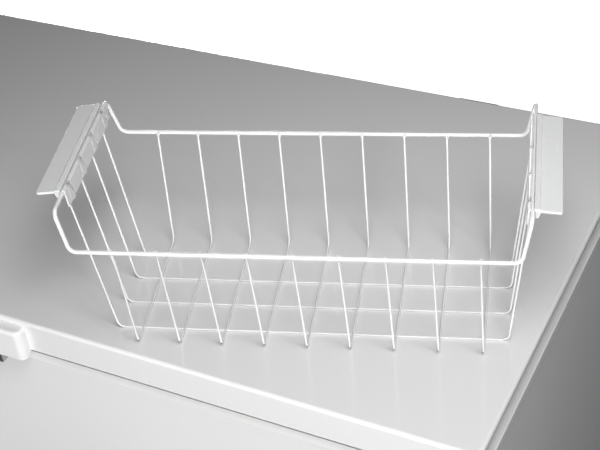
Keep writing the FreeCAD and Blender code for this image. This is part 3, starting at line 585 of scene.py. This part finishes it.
def make_basket_wires():
    """The rail loop, the wires across it and the wires along it, with a bead at each weld."""
    corners = [(RAIL_BEND, -RAIL_HALF, RAIL_HEIGHT), (BAR_HALF, -END_CORNER, END_HEIGHT),
               (BAR_HALF, END_CORNER, END_HEIGHT), (RAIL_BEND, RAIL_HALF, RAIL_HEIGHT)]
    corners += [(-x, -y, z) for x, y, z in corners]
    rail = tube(bent(corners, 10 * MM, 10, closed=True), RAIL_WIRE, 20, closed=True)
    add_piece("basket_rail", moved(rail, BASKET), "coated_wire", "basket", "basket_rail_frame")

    inner, top = RAIL_HALF - RAIL_WIRE - THIN_WIRE, RAIL_HEIGHT + 1 * MM
    wires = []
    for x in CROSS:
        corners = [(x, -inner, top), (x, -FLOOR_Y, 0), (x, FLOOR_Y, 0), (x, inner, top)]
        wires.append(tube(bent(corners, 9 * MM, 8), THIN_WIRE, 12))
        for side in (-1, 1):
            wires.append(ball((x, side * (inner + 0.9 * MM), RAIL_HEIGHT - 1.2 * MM),
                              (2.3 * MM, 1.9 * MM, 3.0 * MM)))
        for y in LONG:
            wires.append(ball((x, y, -THIN_WIRE), (1.7 * MM, 1.7 * MM, 1.1 * MM), 5, 8))
    add_piece("basket_cross", moved(joined(*wires), BASKET), "coated_wire", "basket",
              "basket_cross_wires")

    top = END_HEIGHT - RAIL_WIRE + 0.6 * MM
    wires = []
    for y, meets in zip(LONG, MEETS):
        ends = {-1: meets + 2 * END_OFFSET, 1: meets}
        corners = [(-BAR_HALF, ends[-1], top), (-FLOOR_X, y, BELOW), (FLOOR_X, y, BELOW),
                   (BAR_HALF, ends[1], top)]
        wires.append(tube(bent(corners, 9 * MM, 8), THIN_WIRE, 12))
        for side, place in ends.items():
            wires.append(ball((side * BAR_HALF, place, END_HEIGHT - RAIL_WIRE - 0.4 * MM),
                              (1.4 * MM, 1.9 * MM, 1.9 * MM), 5, 8))
    add_piece("basket_long", moved(joined(*wires), BASKET), "coated_wire", "basket",
              "basket_long_wires")


GRIP_LOW, GRIP_HIGH = -94.5 * MM, 76.5 * MM    # the right grip's ends along its bar
GRIP_REACH = RAIL_WIRE + 0.4 * MM              # how near the grip comes to the bar's middle
NOTCH_HALF, NOTCH_TOP = 2.7 * MM, 1.7 * MM     # the openings in the web for the end wires
SLOT, SLOT_BEFORE_WIRE = 1 * MM, 9 * MM        # the cuts between the skirt's tongues
BEAD_HEIGHT, BEAD_SLOPE = 5.45 * MM, 0.2       # the two ribs along the top


def flange():
    """The hand rest: a flat tongue with round corners, drooping away from the bar."""
    inner, outer, under, thick, corner = 6 * MM, 30.3 * MM, 1 * MM, 3.2 * MM, 3.2 * MM
    outline = [(inner, GRIP_LOW), (inner, GRIP_HIGH)]
    outline += arc((outer - corner, GRIP_HIGH - corner), corner, 90, 0)
    outline += arc((outer - corner, GRIP_LOW + corner), corner, 0, -90)
    points, faces = prism(outline, "z", under, under + thick)
    droop, hinge_line = math.tan(math.radians(6.5)), 8 * MM
    return [Vector((x, y, z - droop * (x - hinge_line))) for x, y, z in points], faces


def grip_web():
    """The back of the channel: web and lip along the flange, notched for the end wires."""
    lip, roof, foot = RAIL_WIRE + 3.4 * MM, RAIL_WIRE + 0.5 * MM, -6 * MM
    full = [(1.5 * MM, RAIL_WIRE + 1.2 * MM), (1.5 * MM, lip - 0.6 * MM), (2.1 * MM, lip),
            (7 * MM, lip), (8.2 * MM, 4.0 * MM), (8.4 * MM, 1.2 * MM), (5.6 * MM, foot),
            (GRIP_REACH, foot), (GRIP_REACH, roof), (1.5 * MM, roof)]
    notched = [(x, max(z, NOTCH_TOP)) for x, z in full]
    parts, start = [], GRIP_LOW
    for meets in MEETS:
        parts += [prism(full, "y", start, meets - NOTCH_HALF),
                  prism(notched, "y", meets - NOTCH_HALF, meets + NOTCH_HALF)]
        start = meets + NOTCH_HALF
    return parts + [prism(full, "y", start, GRIP_HIGH)]


def tongue(start, end, drop):
    """A piece of the skirt; each end is its place at the bar's height and how far it slants."""
    outline = [(-1.4 * MM, 3.0 * MM), (-1.4 * MM, 5.1 * MM), (-2.0 * MM, 5.75 * MM),
               (-3.4 * MM, 5.6 * MM), (-4.7 * MM, 4.2 * MM), (-4.9 * MM, 2.5 * MM),
               (-6.3 * MM, -drop), (-4.3 * MM, -drop),
               (-GRIP_REACH, 1.5 * MM), (-GRIP_REACH, 3.0 * MM)]
    slant = 0.3
    return stacked([[Vector((x, place + slant * z * leans, z)) for x, z in outline]
                    for place, leans in (start, end)])


def grip_skirt():
    """Five tongues; each of the last four starts with a longer finger beside its wire's ridge."""
    first_drop, drop, finger_drop, finger_wide = 14.5 * MM, 16.6 * MM, 18.6 * MM, 6.5 * MM
    slots = [meets - SLOT_BEFORE_WIRE for meets in MEETS]
    parts = [tongue((GRIP_LOW, 0), (slots[0] - SLOT, 1), first_drop)]
    ends = [(slot - SLOT, 1) for slot in slots[1:]] + [(GRIP_HIGH, 0)]
    for slot, end in zip(slots, ends):
        start = slot + SLOT
        parts += [tongue((start, 1), end, drop),
                  tongue((start, 1), (start + finger_wide, 0.8), finger_drop)]
    for meets in MEETS:
        ridge = [Vector((-4.0 * MM, meets, 1.0 * MM)),
                 Vector((-5.1 * MM, meets - 0.6 * MM, -16.0 * MM))]
        parts.append(tube(ridge, 1.7 * MM, 12))
    return parts


def make_grips():
    """Each grip is drawn at the right bar; the left one is turned half way round."""
    for side, turn, start in (("left", math.pi, -BAR_HALF), ("right", 0.0, BAR_HALF)):
        place = BASKET @ Matrix.Translation((start, 0, END_HEIGHT)) @ Matrix.Rotation(turn, 4, "Z")
        node = "basket_grip_" + side
        bead = [tube([Vector((x, y, BEAD_HEIGHT - BEAD_SLOPE * x))
                      for y in (GRIP_LOW + 1 * MM, GRIP_HIGH - 1 * MM)], 0.9 * MM, 12)
                for x in (3.2 * MM, 7.4 * MM)]
        for label, parts, width in (("flange", [flange()], 0.9), ("web", grip_web(), 0.35),
                                    ("skirt", grip_skirt(), 0.35), ("beads", bead, 0)):
            piece = add_piece(f"grip_{label}_{side}", moved(joined(*parts), place), "grip_plastic",
                              node, node)
            if width:
                rounded(piece, width * MM)


# ---- front controls ------------------------------------------------------------------------------

LAMP_STEP = 16 * MM
KNOB_AXIS = Vector(joints["thermostat_turn"]["pos_m"])
ROCKER_AXIS = Vector(joints["freeze_switch_rock"]["pos_m"])


def make_bezel():
    """A rounded cover plate with its back, pierced for the shaft, the rocker and the lamps."""
    low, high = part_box("control_bezel")
    lamp_low, lamp_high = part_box("indicator_lamps")
    front, back = low.y - 5 * MM, high.y + 5 * MM
    lap, plate = 8.2 * MM, 3.9 * MM
    window_wide, window_tall, pin_reach = 9.5 * MM, 7.4 * MM, 12 * MM
    lamp_radius = (lamp_high.z - lamp_low.z) / 2
    x, y, z = ROCKER_AXIS

    def bore(place_x, radius):
        return tube([Vector((place_x, front, KNOB_AXIS.z)), Vector((place_x, back, KNOB_AXIS.z))],
                    radius, 24)

    holes = [bore(KNOB_AXIS.x, 3.6 * MM),
             soft_box((x - window_wide, front, z - window_tall),
                      (x + window_wide, back, z + window_tall), 1.2 * MM),
             tube([Vector((x - pin_reach, y, z)), Vector((x + pin_reach, y, z))], 1.35 * MM, 24)]
    holes += [bore(lamp_low.x + lamp_radius + LAMP_STEP * i, lamp_radius + 0.1 * MM)
              for i in range(3)]
    cover = soft_box(low, (high.x, low.y + plate, high.z), 1.3 * MM, 4)
    box = soft_box((low.x + lap, low.y + plate - 1 * MM, low.z + lap),
                   (high.x - lap, high.y, high.z - lap), 0.4 * MM)
    for name, part in (("bezel_plate", cover), ("bezel_back", box)):
        piece = add_piece(name, part, "white_plastic", "case", "control_bezel")
        for hole in holes:
            carve(piece, hole)


def make_knob():
    """A fluted disc with a grip bar and a pointer line, turning on its joint's axis."""
    centre = KNOB_AXIS
    low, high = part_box("thermostat_knob")
    front = low.y + 6 * MM
    flutes, sides = 24, 96
    rings = []
    for behind, radius, flute in ((11.4, 13.9, 0), (10, 13.9, 0), (9.4, 13.2, 0.45),
                                  (1.6, 12.6, 0.45), (0.4, 12.0, 0.2), (0, 11.2, 0)):
        ring = []
        for angle in around(sides):
            reach = (radius - flute * (1 - math.cos(flutes * angle)) / 2) * MM
            ring.append(Vector((centre.x + reach * math.cos(angle), front + behind * MM,
                                centre.z + reach * math.sin(angle))))
        rings.append(ring)
    bar = soft_box((centre.x - 2.5 * MM, low.y, centre.z - 12.6 * MM),
                   (centre.x + 2.5 * MM, front + 1 * MM, centre.z + 12.6 * MM), 1.1 * MM, 4)
    spindle = tube([Vector((centre.x, y, centre.z)) for y in (front + 10 * MM, high.y)], 3 * MM, 20)
    add_piece("knob", joined(stacked(rings), bar, spindle), "dial_grey", "thermostat_knob",
              "thermostat_knob", 30)
    line = soft_box((centre.x - 0.5 * MM, low.y, centre.z + 4 * MM),
                    (centre.x + 0.5 * MM, low.y + 0.5 * MM, centre.z + 11.5 * MM), 0.1 * MM, 1)
    add_piece("knob_pointer", moved(line, Matrix.Translation((0, -0.08 * MM, 0))), "white_plastic",
              "thermostat_knob", "thermostat_knob")


def make_dial_marks():
    """Ticks that grow round the knob, raised a hair from the bezel."""
    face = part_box("control_bezel")[0].y
    half, inner = 0.35 * MM, 16.4 * MM
    ticks = []
    for step in range(10):
        length = (1.6 + 0.32 * step) * MM
        tick = soft_box((-half, face - 0.06 * MM, inner), (half, face + 0.2 * MM, inner + length),
                        0.05 * MM, 1)
        turn = Matrix.Rotation(math.radians(30 * step), 4, "Y")
        ticks.append(moved(tick, Matrix.Translation((KNOB_AXIS.x, 0, KNOB_AXIS.z)) @ turn))
    add_piece("dial_marks", joined(*ticks), "grey_plastic", "case", smooth=0)


def make_lamps():
    """Three small domes on stems."""
    low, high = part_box("indicator_lamps")
    radius, middle_z = (high.z - low.z) / 2, (low.z + high.z) / 2
    for i, key in enumerate(("green_lens", "amber_lens", "red_lens")):
        x = low.x + radius + LAMP_STEP * i
        stem = tube([Vector((x, y, middle_z)) for y in (low.y + 1.2 * MM, high.y)], radius, 24)
        dome = ball((x, low.y + 1.6 * MM, middle_z), (radius, 1.6 * MM, radius), 12, 24)
        add_piece(key, joined(stem, dome), key, "case", "indicator_lamps")


# ---- fastenings ----------------------------------------------------------------------------------


def make_screws():
    """Pan heads with a cross recess."""
    profile = ((1, 0.0), (1, 0.35), (0.93, 0.62), (0.75, 0.84), (0.45, 0.97), (0.02, 1.0))
    wide, narrow = 0.6, 0.13
    for node, body in (("hinge_base_screws", "case"), ("hinge_arm_screws", "lid")):
        for low, high in heads(node):
            centre, radius, deep = (low + high) / 2, (high.x - low.x) / 2, high.y - low.y
            rings = []
            for reach, share in profile:
                out = reach * radius
                rings.append([Vector((centre.x + out * math.cos(angle), low.y + deep * share,
                                      centre.z + out * math.sin(angle))) for angle in around(28)])
            piece = add_piece("screw", stacked(rings), "bare_steel", body, node)
            for across, up in ((wide * radius, narrow * radius), (narrow * radius, wide * radius)):
                carve(piece, soft_box((centre.x - across, high.y - 1.2 * MM, centre.z - up),
                                      (centre.x + across, high.y + 1 * MM, centre.z + up),
                                      0.1 * MM, 1))


def heads(node):
    """The corners of each separate head in a node of screws."""
    edit = bmesh.new()
    edit.from_mesh(frame["nodes"][node].data)
    bmesh.ops.remove_doubles(edit, verts=edit.verts[:], dist=1e-6)
    place, found, seen = frame["nodes"][node].matrix_world, [], set()
    for start in edit.verts:
        if start in seen:
            continue
        island, queue = [], [start]
        seen.add(start)
        while queue:
            vert = queue.pop()
            island.append(place @ vert.co)
            for edge in vert.link_edges:
                other = edge.other_vert(vert)
                if other not in seen:
                    seen.add(other)
                    queue.append(other)
        found.append((Vector([min(p[i] for p in island) for i in range(3)]),
                      Vector([max(p[i] for p in island) for i in range(3)])))
    edit.free()
    return found


ROUNDING = {                # bevel widths in millimetres
    "top_frame": 1.5, "lid_handle": 0.8, "ventilation_grille": 0.7, "freeze_switch_rocker": 0.7,
    "drain_cap": 0.8, "drain_plug": 0.7, "front_feet": 0.8, "lid_lamp_cover": 1.2,
    "mains_gland": 0.6, "lock_keeper": 0.5, "lock_barrel": 0.3, "lock_tongue": 0.4,
    "hinge_pins": 0.5, "roller_brackets": 0.3, "roller_axles": 0.4, "start_relay_cover": 1.5,
    "terminal_box": 1.5, "thermostat_body": 1.0, "freeze_switch_body": 0.8, "front_panel": 0.3,
    "side_panel_left": 0.3, "side_panel_right": 0.3, "rear_panel": 0.3, "compressor_shell": 0.8,
    "compressor_bolts": 0.4,
}


def round_cad_nodes():
    for node, width in ROUNDING.items():
        rounded(frame["nodes"][node], width * MM, 2, 40)


# ---- floor and light -----------------------------------------------------------------------------


def make_stage():
    """A floor that shows pure white to the camera and doesn't light the object."""
    reach = 14.0
    mesh = bpy.data.meshes.new("floor")
    corners = [(-reach, -reach, 0), (reach, -reach, 0), (reach, reach, 0), (-reach, reach, 0)]
    mesh.from_pydata(corners, [], [[0, 1, 2, 3]])
    floor = bpy.data.objects.new("floor", mesh)
    bpy.context.scene.collection.objects.link(floor)
    n = Nodes("pale floor")
    tone = n.ramp(n.noise(2.0, 3), (0.92, 0.92, 0.92), (0.96, 0.96, 0.96))
    n.finish(Base_Color=tone, Roughness=0.7, Emission_Color=(1, 1, 1, 1), Emission_Strength=1.0)
    floor.data.materials.append(n.material)
    floor.visible_diffuse = floor.visible_glossy = False


def area_light(name, place, target, size, power, size_y=None):
    data = bpy.data.lights.new(name, "AREA")
    data.energy = power
    data.size = size
    if size_y:
        data.shape = "RECTANGLE"
        data.size_y = size_y
    light = bpy.data.objects.new(name, data)
    light.location = place
    light.rotation_euler = (Vector(target) - Vector(place)).to_track_quat("-Z", "Y").to_euler()
    bpy.context.scene.collection.objects.link(light)


def towards(across, elevation):
    """The direction of a compass heading (x, y), raised by an angle in degrees."""
    rise = math.radians(elevation)
    return Vector((*across, 0)).normalized() * math.cos(rise) + Vector((0, 0, math.sin(rise)))


def make_light():
    """A dim room, a key and a side lamp for the lid and basket, and two for the cabinet."""
    world = bpy.data.worlds.new("studio")
    bpy.context.scene.world = world
    world.use_nodes = True
    room = world.node_tree.nodes["Background"]
    room.inputs["Color"].default_value = (1, 1, 1, 1)
    room.inputs["Strength"].default_value = 0.055
    aim = middle + Vector((0.15, -0.20, 0))
    area_light("key", aim + towards((0.70, -0.71), 66) * 1.7, aim, 0.8, 8)
    bpy.data.lights["key"].spread = math.radians(100)
    area_light("side", aim + towards((0.954, -0.30), 37) * 2.2, aim, 0.22, 6)
    area_light("front", (1.0, -3.4, 0.75), (0.3, 0, 0.75), 2.6, 85, 1.2)
    area_light("rear", (-2.2, 2.8, 0.5), (0, 0, 0.45), 2.4, 75, 0.6)
    bpy.context.scene.view_settings.view_transform = "Standard"


make_lid_skin()
make_lid_trims()
make_gasket()
make_lid_liner()
make_basket_wires()
make_grips()
make_bezel()
make_knob()
make_dial_marks()
make_lamps()
make_screws()
round_cad_nodes()
make_stage()
make_light()
